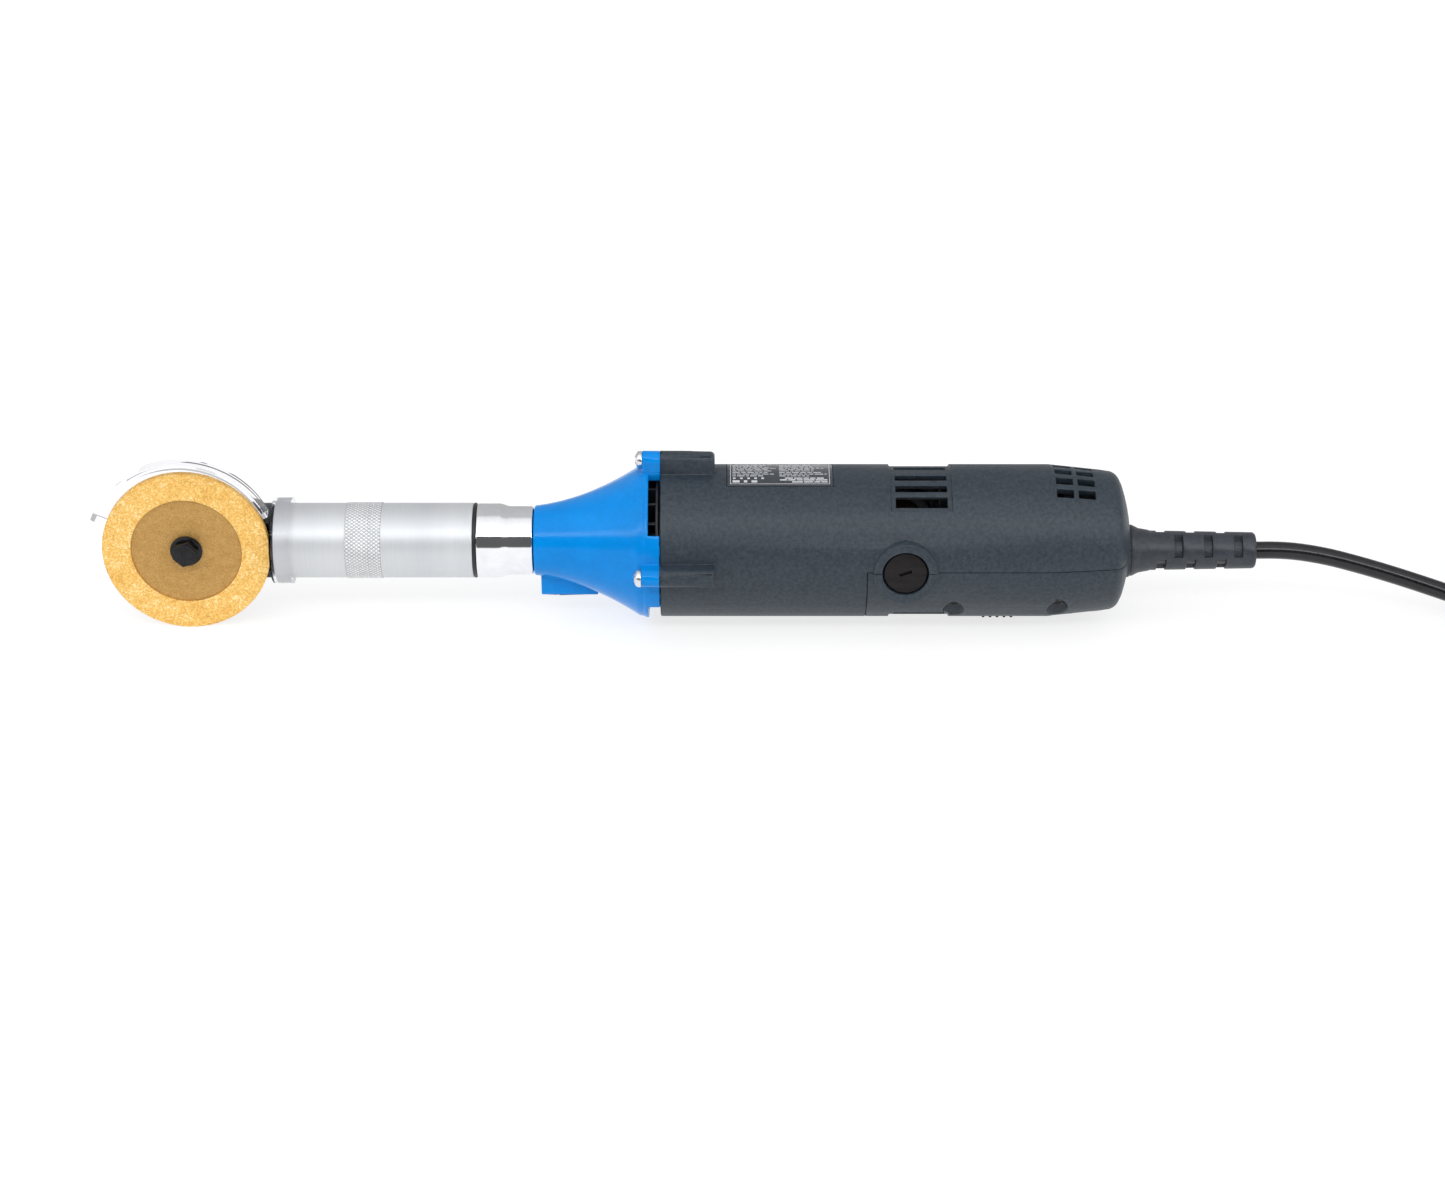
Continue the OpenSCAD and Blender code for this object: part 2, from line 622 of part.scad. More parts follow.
// The guard: a rim around the far side of the wheel, a plate behind the wheel that lies on the
// head's flat face, and a collar around the tube
module wheel_guard() color([0.86, 0.86, 0.9, 0.45]) tool() {
    plate_back = head_front;
    plate_front = head_front - plate_t;
    rim_back = head_front + 1.5;
    difference() {
        union() {
            translate([guard_x, rim_back, 0]) rotate([90, 0, 0]) rotate([0, 0, guard_arc[0]])
                rotate_extrude(angle = guard_arc[1] - guard_arc[0], $fn = round_fn)
                    polygon([[guard_r - guard_t, 0], [guard_r - 0.8, 0],
                             [guard_r, rim_back - guard_front - 0.6],
                             [guard_r - 0.6, rim_back - guard_front],
                             [guard_r - guard_t, rim_back - guard_front]]);
            translate([guard_x, plate_back, 0]) rotate([90, 0, 0]) rotate([0, 0, guard_arc[0]])
                rotate_extrude(angle = guard_arc[1] - guard_arc[0], $fn = round_fn)
                    square([guard_r - 1, plate_t]);
            translate([wheel_x, plate_front, -guard_neck_w / 2])
                cube([head_end - wheel_x, plate_t, guard_neck_w]);
            cross_bar(wheel_x, plate_front, plate_back, 15);
            intersection() {
                disc(head_end - 0.4, head_end, collar_r);
                translate([head_end - 2, -30, -30]) cube([3, 30 + plate_back, 60]);
            }
        }
        cross_bar(wheel_x, plate_front - past, plate_back + past, 9.5);
        for (z = [-8, 8]) translate([0, 0, z])
            cross_bar(wheel_x + 24, plate_front - past, plate_back + past, 2.3, small_fn);
    }
    ring(collar_x[0], collar_x[1], collar_r, tube_r);
}

module guard_screws() color(steel) tool() for (z = [-8, 8]) translate([0, 0, z]) {
    cross_bar(wheel_x + 24, head_front - plate_t, head_front, 2.3, small_fn);
    cross_bar(wheel_x + 24, head_front, head_front + 3, 1.2, small_fn);
}

module drive_shaft() color(steel) tool() disc(wheel_x + gear_r + 0.2, -39.5, drive_r, small_fn);

module shaft_coupling() color("#9a9da1") tool() ring(-44.5, -39, 5.1, drive_r, small_fn);

// A gear's outline: each tooth is narrower at its tip, with room for backlash
module gear_outline(teeth) {
    pitch = gear_module * teeth / 2;
    step = 360 / teeth;
    corners = [[pitch - 1.1 * gear_module, -0.3 * step], [pitch + 0.8 * gear_module, -0.13 * step],
               [pitch + 0.8 * gear_module, 0.13 * step], [pitch - 1.1 * gear_module, 0.3 * step]];
    polygon([for (i = [0:teeth - 1]) for (c = corners)
        c[0] * [cos(i * step + c[1]), sin(i * step + c[1])]]);
}

module bevel_pinion() color("#8d9094") tool() difference() {
    union() {
        translate([wheel_x + gear_r, 0, 0]) rotate([0, -90, 0])
            linear_extrude(height = gear_r * (1 - gear_taper), scale = gear_taper)
                gear_outline(pinion_teeth);
        disc(wheel_x + gear_r, wheel_x + gear_r + 5, 4, small_fn);
    }
    disc(wheel_x + gear_r + 0.2, wheel_x + gear_r + 6, drive_r, small_fn);
}

module spindle() color(steel) tool() difference() {
    union() {
        cross_bar(wheel_x, head_front - 0.4, head_back - 0.3, spindle_r);
        cross_bar(wheel_x, wheel_back, head_front - 0.4, 8);
        cross_bar(wheel_x, recess_face, wheel_back, 5);
    }
    cross_bar(wheel_x, recess_face - past, wheel_back + 7, 2.5, small_fn);
}

module bevel_gear() color("#8d9094") tool() difference() {
    union() {
        translate([wheel_x, pinion_r, 0]) rotate([90, 0, 0])
            rotate([0, 0, 180 / gear_teeth])
                linear_extrude(height = pinion_r * (1 - gear_taper), scale = gear_taper)
                    gear_outline(gear_teeth);
        cross_bar(wheel_x, pinion_r, head_back - 4.3, 5.2);
    }
    cross_bar(wheel_x, 0, head_back, spindle_r);
}

module grinding_wheel() color("#c9a15a") tool() difference() {
    cross_bar(wheel_x, recess_face, wheel_back, wheel_r - 0.4);
    cross_bar(wheel_x, recess_face - past, wheel_back + past, 5);
}

module grit_ring() color("#e2b25c") tool() difference() {
    cross_bar(wheel_x, wheel_front, wheel_back, wheel_r);
    cross_bar(wheel_x, wheel_front - past, recess_face, recess_d / 2);
    cross_bar(wheel_x, recess_face, wheel_back + past, wheel_r - 0.4);
}

module wheel_washer() color("#2c2d30") tool() difference() {
    cross_bar(wheel_x, recess_face - 0.8, recess_face, 6.8);
    cross_bar(wheel_x, recess_face - 2, recess_face + past, 2.5, small_fn);
}

module wheel_bolt() color("#1d1e20") tool() translate([wheel_x, 0, 0]) {
    head_face = recess_face - 0.8;
    difference() {
        translate([0, head_face, 0]) rotate([90, 0, 0]) rotate([0, 0, 18])
            cylinder(h = 4, d = 10 / cos(30), $fn = 6);
        translate([0, head_face - 3.6, 0]) rotate([90, 0, 0]) cylinder(h = 1, r = 3.2, $fn = small_fn);
    }
    cross_bar(0, head_face, wheel_back + 6, 2.5, small_fn);
}

// ---- Switch and cord ----

module switch_slider() color("#20242a") tool() translate([switch_x + switch_travel / 2, 0, 0]) {
    translate([-8, -5.5, -body_r + 0.5]) cube([16, 11, 6]);
    for (x = [-6:3:6]) translate([x - 0.6, -5, -body_r - 2]) cube([1.2, 10, 2.6]);
    translate([-15, -8, -26.9]) cube([36, 16, 1.4]);
}

module strain_relief() color("#343a42") tool() translate([body_l, 0, relief_z]) difference() {
    union() {
        turned([[-3, 0], [-3, 8], [0, 8], [0, 11], [1.2, 11], [4, 9.6], [8.5, 8.75], [9, 8.5],
                [relief_l - 1, 7.75], [relief_l, 7], [relief_l, 0]]);
        disc(-6, -3, 10);
    }
    disc(-7, relief_l + past, cord_r);
    for (x = [11.6, 24.3, 37.3], a = [95, 275]) ring_part(x, x + 3.9, 12, slot_floor_r, [a, a + 80]);
    for (x = [18.9, 31.6, 44.4], a = [1, 181]) ring_part(x, x + 3.6, 12, slot_floor_r, [a, a + 80]);
}

cord_exit = [exit_x + shift_x, 0, axis_z + relief_z];
coil_place = [cord_exit[0] + coil_middle[0], coil_middle[1], 0];

module cord_lead() color(black_rubber)
    translate(cord_exit) swept(lead_route, cord_r, 10);

module cord_coil() color(black_rubber) translate(coil_place) difference() {
    rotate_extrude($fn = round_fn) translate([coil_in, 0]) square([coil_out - coil_in, coil_h]);
    rotate([0, 0, -5 * tie_angle / 8]) rotate_extrude(angle = 5 * tie_angle / 4, $fn = round_fn)
        translate([coil_in - past, -past]) square([coil_out - coil_in + 2 * past, past + tie_t]);
}

module cord_tie() color("#3a3d42") translate(coil_place)
    rotate([0, 0, -tie_angle / 2]) rotate_extrude(angle = tie_angle, $fn = round_fn) difference() {
        translate([coil_in - tie_t, 0])
            square([coil_out - coil_in + 2 * tie_t, coil_h + tie_t]);
        translate([coil_in, tie_t]) square([coil_out - coil_in, coil_h - tie_t]);
    }

module cord_tail() color(black_rubber) translate(coil_place) swept(tail_route, cord_r, 10);

module plug_frame() translate(coil_place + [plug_x, plug_y, plug_top]) rotate([90, 0, 0]) children();

module mains_plug() color("#25282d") plug_frame() {
    rotate_extrude($fn = small_fn) polygon([[0, 0], [5.4, 0], [6.5, 2], [8.5, plug_neck_l - 3],
                                            [12.8, plug_neck_l], [12.8, plug_neck_l + 1], [0, plug_neck_l + 1]]);
    translate([0, 0, plug_neck_l]) linear_extrude(height = plug_body_l) {
        square([plug_size[0] - 16, plug_size[1]], center = true);
        square([plug_size[0], plug_size[1] - 16], center = true);
        for (x = [-1, 1] * (plug_size[0] / 2 - 8), y = [-1, 1] * (plug_size[1] / 2 - 8))
            translate([x, y]) circle(r = 8, $fn = small_fn);
    }
}

module plug_pins() color(steel) plug_frame() for (x = [-1, 1] * pin_gap / 2)
    translate([x, 0, plug_neck_l + plug_body_l]) {
        cylinder(h = pin_l - 1.2, r = pin_r, $fn = small_fn);
        translate([0, 0, pin_l - 1.2]) cylinder(h = 1.2, r1 = pin_r, r2 = 1.6, $fn = small_fn);
    }

motor_housing();
lower_cover();
cover_screws();
nose_housing();
nose_screws();
clamp_screw();
rating_label();
brush_caps();
brush_holders();
carbon_brushes();
brush_springs();
stator_core();
field_coils();
air_baffle();
front_bearing();
rear_bearing();
bearing_support();
switch_body();
suppression_capacitor();
cable_clamp();
clamp_screws();
inner_cable();
strain_relief();
cord_lead();
cord_coil();
cord_tie();
cord_tail();
mains_plug();
plug_pins();
armature_shaft();
armature_core();
armature_windings();
commutator();
cooling_fan();
coupling_sleeve();
neck_adapter();
seal_ring();
extension_tube();
bearing_carriers();
shaft_bearings();
head_housing();
head_cap();
head_cap_screws();
spindle_bush();
spindle_bearing();
wheel_guard();
guard_screws();
drive_shaft();
shaft_coupling();
bevel_pinion();
spindle();
bevel_gear();
grinding_wheel();
grit_ring();
wheel_washer();
wheel_bolt();
switch_slider();
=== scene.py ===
"""Looks of the corded hand grinder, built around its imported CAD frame. Lengths are in metres."""

import json
import math
import random

import bmesh
import bpy
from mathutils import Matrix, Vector, noise

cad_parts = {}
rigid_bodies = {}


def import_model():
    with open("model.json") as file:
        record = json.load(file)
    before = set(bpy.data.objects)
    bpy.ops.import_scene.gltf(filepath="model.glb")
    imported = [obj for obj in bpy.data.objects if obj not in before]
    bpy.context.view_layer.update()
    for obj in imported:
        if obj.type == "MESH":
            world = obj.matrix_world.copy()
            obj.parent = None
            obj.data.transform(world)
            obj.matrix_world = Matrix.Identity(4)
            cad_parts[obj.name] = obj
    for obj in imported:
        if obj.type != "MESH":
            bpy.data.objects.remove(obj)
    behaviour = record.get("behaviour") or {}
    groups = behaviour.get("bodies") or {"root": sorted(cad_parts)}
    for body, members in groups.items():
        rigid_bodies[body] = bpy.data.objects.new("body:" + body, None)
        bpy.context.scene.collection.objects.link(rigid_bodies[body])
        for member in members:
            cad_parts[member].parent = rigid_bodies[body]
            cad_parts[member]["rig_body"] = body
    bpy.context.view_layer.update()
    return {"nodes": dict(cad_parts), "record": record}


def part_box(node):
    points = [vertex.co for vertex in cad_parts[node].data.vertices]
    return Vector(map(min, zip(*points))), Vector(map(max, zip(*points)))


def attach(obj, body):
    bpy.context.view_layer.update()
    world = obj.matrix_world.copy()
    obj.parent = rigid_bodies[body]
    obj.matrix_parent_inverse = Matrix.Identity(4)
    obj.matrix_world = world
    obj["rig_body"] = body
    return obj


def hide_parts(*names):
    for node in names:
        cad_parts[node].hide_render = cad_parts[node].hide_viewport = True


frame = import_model()

MM = 0.001
NODES = frame["nodes"]
SLOTS = {row["node"]: row["material_slot"] for row in frame["record"]["subparts"]}

# Camera: at the photograph's angle, 26 degrees above the horizon
ELEVATION = math.radians(26)
CAMERA_DISTANCE = 1.45
CAMERA_LENS = 84.5

# Places read off the frame
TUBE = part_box("extension_tube")
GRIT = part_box("grit_ring")
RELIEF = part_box("strain_relief")
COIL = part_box("cord_coil")
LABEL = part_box("rating_label")
TUBE_R = 16 * MM
AXIS_Z = (TUBE[0].z + TUBE[1].z) / 2
WHEEL = (GRIT[0] + GRIT[1]) / 2
CAMERA_AIM = Vector((0.0195, -0.0104, AXIS_Z - 0.0213))


def camera():
    """Makes the camera that the main render uses"""
    data = bpy.data.cameras.new("camera")
    data.lens = CAMERA_LENS
    data.sensor_width = 36
    data.clip_end = 60
    obj = bpy.data.objects.new("camera", data)
    bpy.context.scene.collection.objects.link(obj)
    back = Vector((0, -math.cos(ELEVATION), math.sin(ELEVATION)))
    obj.location = CAMERA_AIM + back * CAMERA_DISTANCE
    obj.rotation_euler = (math.pi / 2 - ELEVATION, 0, 0)
    bpy.context.scene.camera = obj


# ---- Materials ----

def new_material(name, **sockets):
    """An empty Principled material, with constant sockets set directly"""
    mat = bpy.data.materials.new(name)
    mat.use_nodes = True
    shader = mat.node_tree.nodes["Principled BSDF"]
    for socket, value in sockets.items():
        shader.inputs[socket.replace("_", " ")].default_value = value
    return mat, mat.node_tree, shader


def node(tree, kind, **values):
    """One shader node; values are set on its inputs by name"""
    made = tree.nodes.new("ShaderNode" + kind)
    for name, value in values.items():
        made.inputs[name.replace("_", " ")].default_value = value
    return made


def place(tree, stretch=(1, 1, 1)):
    """The surface point in the frame, stretched"""
    coordinates = node(tree, "TexCoord")
    mapping = node(tree, "Mapping", Scale=stretch)
    tree.links.new(coordinates.outputs["Object"], mapping.inputs["Vector"])
    return mapping.outputs["Vector"]


def noise_of(tree, vector, size, detail=3.0, rough=0.55):
    """Noise whose features are size metres across"""
    made = node(tree, "TexNoise", Scale=1 / size, Detail=detail, Roughness=rough)
    tree.links.new(vector, made.inputs["Vector"])
    return made.outputs["Fac"]


def colours(tree, factor, stops):
    """A colour ramp from (position, colour) stops"""
    ramp = node(tree, "ValToRGB")
    points = ramp.color_ramp.elements
    while len(points) < len(stops):
        points.new(0.5)
    for point, (position, colour) in zip(points, stops):
        point.position = position
        point.color = (*colour, 1)
    tree.links.new(factor, ramp.inputs["Fac"])
    return ramp.outputs["Color"]


def levels(tree, factor, low, high, start=0.3, end=0.7):
    """Maps a texture's middle range to low..high"""
    made = node(tree, "MapRange")
    for socket, value in zip(("From Min", "From Max", "To Min", "To Max"), (start, end, low, high)):
        made.inputs[socket].default_value = value
    tree.links.new(factor, made.inputs["Value"])
    return made.outputs["Result"]


def relief(tree, shader, heights):
    """Chains bump nodes of (height output, depth in metres) into the shader's normal"""
    last = None
    for height, depth in heights:
        bump = node(tree, "Bump", Strength=1.0, Distance=depth)
        tree.links.new(height, bump.inputs["Height"])
        if last:
            tree.links.new(last, bump.inputs["Normal"])
        last = bump.outputs["Normal"]
    tree.links.new(last, shader.inputs["Normal"])


def surface(name, dark, light, rough, patch, grain, depth, stretch=(1, 1, 1), **sockets):
    """A material whose colour wanders from dark to light, with a finer grain in gloss and relief"""
    mat, tree, shader = new_material(name, **sockets)
    vector = place(tree, stretch)
    broad = noise_of(tree, vector, patch, 4.0)
    fine = noise_of(tree, vector, grain, 2.0)
    mixed = node(tree, "Math")
    mixed.operation = "MULTIPLY_ADD"
    mixed.inputs[1].default_value = 0.6
    tree.links.new(fine, mixed.inputs[0])
    scaled = levels(tree, broad, 0.0, 0.4)
    tree.links.new(scaled, mixed.inputs[2])
    tint = colours(tree, mixed.outputs["Value"], [(0.25, dark), (0.75, light)])
    tree.links.new(tint, shader.inputs["Base Color"])
    tree.links.new(levels(tree, fine, *rough), shader.inputs["Roughness"])
    relief(tree, shader, [(fine, depth)])
    return mat


def grit_material(name, size, colour_stops, depth, metallic):
    """Crystals of abrasive: each cell has its own colour and gloss, and stands proud of its edges"""
    mat, tree, shader = new_material(name, Metallic=metallic, Specular_IOR_Level=0.6)
    vector = place(tree)
    cells = node(tree, "TexVoronoi", Scale=1 / size)
    tree.links.new(vector, cells.inputs["Vector"])
    split = node(tree, "SeparateColor")
    tree.links.new(cells.outputs["Color"], split.inputs["Color"])
    cloud = noise_of(tree, vector, size * 12, 3.0)
    mixed = node(tree, "Math")
    mixed.operation = "MULTIPLY_ADD"
    mixed.inputs[1].default_value = 0.7
    tree.links.new(split.outputs["Red"], mixed.inputs[0])
    tree.links.new(levels(tree, cloud, 0.0, 0.3), mixed.inputs[2])
    tint = colours(tree, mixed.outputs["Value"], colour_stops)
    tree.links.new(tint, shader.inputs["Base Color"])
    gloss = levels(tree, split.outputs["Green"], 0.28, 0.62, 0.0, 1.0)
    tree.links.new(gloss, shader.inputs["Roughness"])
    fine = noise_of(tree, vector, size * 0.6, 2.0)
    relief(tree, shader, [(cells.outputs["Distance"], -depth), (fine, depth * 0.6)])
    return mat


def clear_material():
    """Clear polycarbonate with a faint violet tint and a few hazy patches"""
    mat, tree, shader = new_material(
        "clear_polycarbonate", IOR=1.2, Transmission_Weight=1.0, Specular_IOR_Level=0.5)
    vector = place(tree, (1, 1, 0.4))
    haze = noise_of(tree, vector, 0.012, 5.0, 0.6)
    tint = colours(tree, haze, [(0.3, (0.955, 0.955, 0.985)), (0.75, (0.99, 0.99, 1.0))])
    tree.links.new(tint, shader.inputs["Base Color"])
    tree.links.new(levels(tree, haze, 0.0, 0.05), shader.inputs["Roughness"])
    relief(tree, shader, [(haze, 0.00001)])
    return mat


def woven_material():
    """Black hook strap: short ribs across and along, painted darker in the grooves between them as painted
    shade
    """
    mat, tree, shader = new_material("woven_strap", Sheen_Weight=0.3, Sheen_Roughness=0.4)
    vector = place(tree)
    weave = node(tree, "TexVoronoi", Scale=1400.0)
    weave.distance = "CHEBYCHEV"
    tree.links.new(vector, weave.inputs["Vector"])
    # rib tops light, grooves between ribs dark: painted shade that follows the relief below
    stops = [(0.1, (0.06, 0.06, 0.065)), (0.8, (0.012, 0.012, 0.014))]
    tint = colours(tree, weave.outputs["Distance"], stops)
    tree.links.new(tint, shader.inputs["Base Color"])
    tree.links.new(levels(tree, weave.outputs["Distance"], 0.7, 0.95, 0, 1), shader.inputs["Roughness"])
    relief(tree, shader, [(weave.outputs["Distance"], -0.0002)])
    return mat


RINGS = (1, 0.03, 0.03)
MATERIALS = {
    "housing_plastic": surface(
        "grained_housing", (0.009, 0.017, 0.026), (0.031, 0.045, 0.061), (0.40, 0.56),
        0.0016, 0.00075, 0.00009, Specular_IOR_Level=0.45),
    "blue_plastic": surface(
        "glossy_blue", (0.0, 0.20, 0.60), (0.0, 0.25, 0.73), (0.14, 0.20),
        0.02, 0.0016, 0.000008, Specular_IOR_Level=0.18),
    "chrome": surface(
        "polished_chrome", (0.80, 0.81, 0.84), (0.90, 0.90, 0.92), (0.035, 0.085),
        0.006, 0.0005, 0.000003, Metallic=1.0),
    "aluminium": surface(
        "satin_aluminium", (0.60, 0.62, 0.64), (0.68, 0.695, 0.71), (0.44, 0.54),
        0.02, 0.00035, 0.000004, stretch=RINGS, Metallic=0.6),
    "head_metal": surface(
        "painted_head", (0.022, 0.027, 0.034), (0.05, 0.056, 0.066), (0.38, 0.5),
        0.004, 0.0006, 0.00003, Metallic=0.2),
    "clear_plastic": clear_material(),
    "gold_grit": grit_material(
        "coarse_gold_grit", 0.00055,
        [(0.05, (0.72, 0.36, 0.06)), (0.35, (0.87, 0.48, 0.095)), (0.7, (0.97, 0.63, 0.18)),
         (0.97, (1.0, 0.86, 0.50))], 0.00014, 0.2),
    "gold_metal": grit_material(
        "fine_gold_grit", 0.0003,
        [(0.1, (0.39, 0.205, 0.045)), (0.5, (0.49, 0.275, 0.070)), (0.9, (0.60, 0.36, 0.115))],
        0.00003, 0.35),
    "black_steel": surface(
        "black_oxide", (0.006, 0.006, 0.007), (0.022, 0.022, 0.024), (0.10, 0.2),
        0.003, 0.0005, 0.00001, Metallic=0.6),
    "zinc": surface(
        "bright_zinc", (0.66, 0.67, 0.69), (0.86, 0.865, 0.88), (0.14, 0.28),
        0.002, 0.0004, 0.00001, Metallic=1.0),
    "steel": surface(
        "ground_steel", (0.42, 0.43, 0.44), (0.60, 0.61, 0.62), (0.2, 0.36),
        0.006, 0.0004, 0.00001, stretch=RINGS, Metallic=1.0),
    "core_steel": surface(
        "laminated_steel", (0.12, 0.12, 0.125), (0.34, 0.34, 0.35), (0.35, 0.55),
        0.004, 0.0005, 0.00006, stretch=RINGS, Metallic=0.9),
    "copper": surface(
        "enamelled_copper", (0.30, 0.10, 0.035), (0.62, 0.26, 0.10), (0.22, 0.4),
        0.002, 0.0007, 0.0001, stretch=(0.2, 1, 1), Metallic=0.9),
    "brass": surface(
        "turned_brass", (0.50, 0.36, 0.11), (0.68, 0.52, 0.20), (0.22, 0.36),
        0.004, 0.0004, 0.00001, Metallic=1.0),
    "carbon": surface(
        "brush_carbon", (0.010, 0.010, 0.011), (0.03, 0.03, 0.032), (0.5, 0.7),
        0.002, 0.0004, 0.00002),
    "inner_plastic": surface(
        "moulded_inner", (0.008, 0.009, 0.011), (0.022, 0.024, 0.028), (0.4, 0.55),
        0.004, 0.0007, 0.00003),
    "cap_plastic": surface(
        "moulded_cap", (0.004, 0.0035, 0.004), (0.014, 0.011, 0.012), (0.38, 0.5),
        0.003, 0.0003, 0.00002, stretch=(0.15, 1, 1), Specular_IOR_Level=0.2),
    "capacitor": surface(
        "capacitor_case", (0.42, 0.32, 0.06), (0.60, 0.48, 0.12), (0.25, 0.4),
        0.006, 0.0008, 0.00002),
    "label": surface(
        "label_film", (0.020, 0.026, 0.034), (0.034, 0.042, 0.052), (0.3, 0.4),
        0.004, 0.0007, 0.00001, Coat_Weight=0.3, Coat_Roughness=0.2),
    "relief_rubber": surface(
        "relief_rubber", (0.014, 0.019, 0.027), (0.034, 0.041, 0.052), (0.36, 0.5),
        0.003, 0.0006, 0.00005),
    "seal_rubber": surface(
        "seal_rubber", (0.004, 0.004, 0.005), (0.010, 0.010, 0.011), (0.35, 0.5),
        0.003, 0.0006, 0.00002),
    "cable": surface(
        "cable_sheath", (0.003, 0.003, 0.004), (0.012, 0.012, 0.015), (0.14, 0.24),
        0.006, 0.0012, 0.000004, Specular_IOR_Level=0.45),
    "plug_plastic": surface(
        "plug_plastic", (0.007, 0.007, 0.008), (0.018, 0.018, 0.020), (0.36, 0.5),
        0.003, 0.0008, 0.00004),
    "pin_metal": surface(
        "nickel_pins", (0.60, 0.58, 0.53), (0.78, 0.76, 0.71), (0.12, 0.22),
        0.003, 0.0004, 0.000004, Metallic=1.0),
    "tie_fabric": woven_material(),
}
LABEL_INK = surface(
    "label_ink", (0.42, 0.43, 0.45), (0.68, 0.69, 0.71), (0.4, 0.55), 0.001, 0.0003, 0.000004)
KNURLED = surface(
    "knurled_aluminium", (0.74, 0.75, 0.76), (0.84, 0.85, 0.86), (0.3, 0.42), 0.004, 0.0004, 0.000004,
    Metallic=0.5)

# A darker copy of the knurled metal for the knurl's valleys: painted shade in the grooves
KNURL_PAINTED_SHADE = surface(
    "knurl_valley_painted_shade", (0.34, 0.35, 0.37), (0.44, 0.45, 0.47), (0.4, 0.5), 0.004, 0.0004, 0.000004,
    Metallic=0.5)


# ---- Ways to make pieces ----

def mesh_piece(name, points, faces, material, smooth=True):
    """A mesh object from points in metres"""
    mesh = bpy.data.meshes.new(name)
    mesh.from_pydata([tuple(p) for p in points], [], faces)
    mesh.materials.append(material)
    for face in mesh.polygons:
        face.use_smooth = smooth
    mesh.update()
    obj = bpy.data.objects.new(name, mesh)
    bpy.context.scene.collection.objects.link(obj)
    return obj


def stands_for(piece, *nodes):
    """The piece rides as the first CAD node does, and replaces them all"""
    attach(piece, NODES[nodes[0]]["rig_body"])
    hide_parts(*nodes)
    return piece


SHARP_ANGLE = 35       # edges sharper than this are rounded


def bevelled(piece, width):
    """Rounds the piece's sharp edges, so that they catch light"""
    mod = piece.modifiers.new("edges", "BEVEL")
    mod.width = width
    mod.segments = 2
    mod.limit_method = "ANGLE"
    mod.angle_limit = math.radians(SHARP_ANGLE)
    mod.use_clamp_overlap = False
    mod.harden_normals = True
    return piece


def refined(name, width):
    """A piece from a CAD node's own shape, with its flat faces joined and its edges rounded"""
    mesh = NODES[name].data.copy()
    mesh.materials.clear()
    mesh.materials.append(MATERIALS[SLOTS[name]])
    work = bmesh.new()
    work.from_mesh(mesh)
    bmesh.ops.remove_doubles(work, verts=work.verts, dist=0.01 * MM)
    bmesh.ops.dissolve_degenerate(work, edges=work.edges, dist=0.01 * MM)
    bmesh.ops.dissolve_limit(
        work, angle_limit=math.radians(0.5), verts=work.verts, edges=work.edges)
    bmesh.ops.recalc_face_normals(work, faces=work.faces)
    for face in work.faces:
        face.smooth = True
    work.to_mesh(mesh)
    work.free()
    piece = bpy.data.objects.new(name + "_fine", mesh)
    bpy.context.scene.collection.objects.link(piece)
    bevelled(piece, width)
    return stands_for(piece, name)


def rounded(corners, radius, steps=4):
    """A closed outline with its corners rounded by up to radius"""
    out = []
    count = len(corners)
    for i, corner in enumerate(corners):
        here = Vector(corner)
        before = Vector(corners[i - 1]) - here
        after = Vector(corners[(i + 1) % count]) - here
        cut = min(radius, before.length * 0.45, after.length * 0.45)
        a = here + before.normalized() * cut
        b = here + after.normalized() * cut
        for s in range(steps + 1):
            t = s / steps
            out.append(a.lerp(here, t).lerp(here.lerp(b, t), t))
    return out


def grid_faces(rows, columns):
    """Quads of a grid whose rows and columns both close on themselves"""
    faces = []
    for i in range(rows):
        for j in range(columns):
            k = (i + 1) % rows
            m = (j + 1) % columns
            faces.append((i * columns + j, i * columns + m, k * columns + m, k * columns + j))
    return faces


def axis_lathe(name, outline, material, steps=128, lift=None):
    """A ring turned around the tool's axis from a closed (x, radius) outline; lift adds to the radius"""
    points = []
    for s in range(steps):
        a = 2 * math.pi * s / steps
        for x, r in outline:
            radius = r + lift(x, r, a) if lift else r
            points.append((x, radius * math.cos(a), AXIS_Z + radius * math.sin(a)))
    return mesh_piece(name, points, grid_faces(steps, len(outline)), material)


# ---- Cord ----

LEAD_ROUTE = [
    (0, 0, 0), (10, 0, 0), (20, 0, -0.9), (32, 0, -3.2), (45, 0, -6.8), (58, 0, -10.9),
    (70, -0.5, -14.8), (82, -2, -18.5), (94, -5, -21.8), (106, -10, -24.6), (117, -16, -26.3),
    (127, -22.5, -27.05), (137, -29, -27.15), (147, -34.3, -27.15), (158, -37.75, -27.15),
]
TAIL_ROUTE = [
    (-29, 37.9, 33.75), (-34, 31.5, 35.5), (-37.4, 24, 38), (-38.6, 16, 41), (-38.8, 9, 43),
    (-38.8, 2, 43),
]
CORD_D = 7.5 * MM
CORD_EXIT = Vector((RELIEF[1].x, 0, (RELIEF[0].z + RELIEF[1].z) / 2))
COIL_MIDDLE = Vector(((COIL[0].x + COIL[1].x) / 2, (COIL[0].y + COIL[1].y) / 2, 0))
COIL_OUTER = 47.75
COIL_INNER = 40.25
COIL_TURNS = [
    (COIL_OUTER, 3.75), (COIL_INNER, 3.75), (COIL_INNER, 11.25), (COIL_OUTER, 11.25),
    (COIL_OUTER, 18.75), (COIL_INNER, 18.75), (COIL_INNER, 26.25), (COIL_OUTER, 26.25),
]
SHIFT_ANGLE = 36       # each turn moves to the next one's place over this many degrees
LAST_TURN = 185        # how far the last turn goes before the tail rises
TURN_STEP = 5


def eased(t):
    return t * t * (3 - 2 * t)


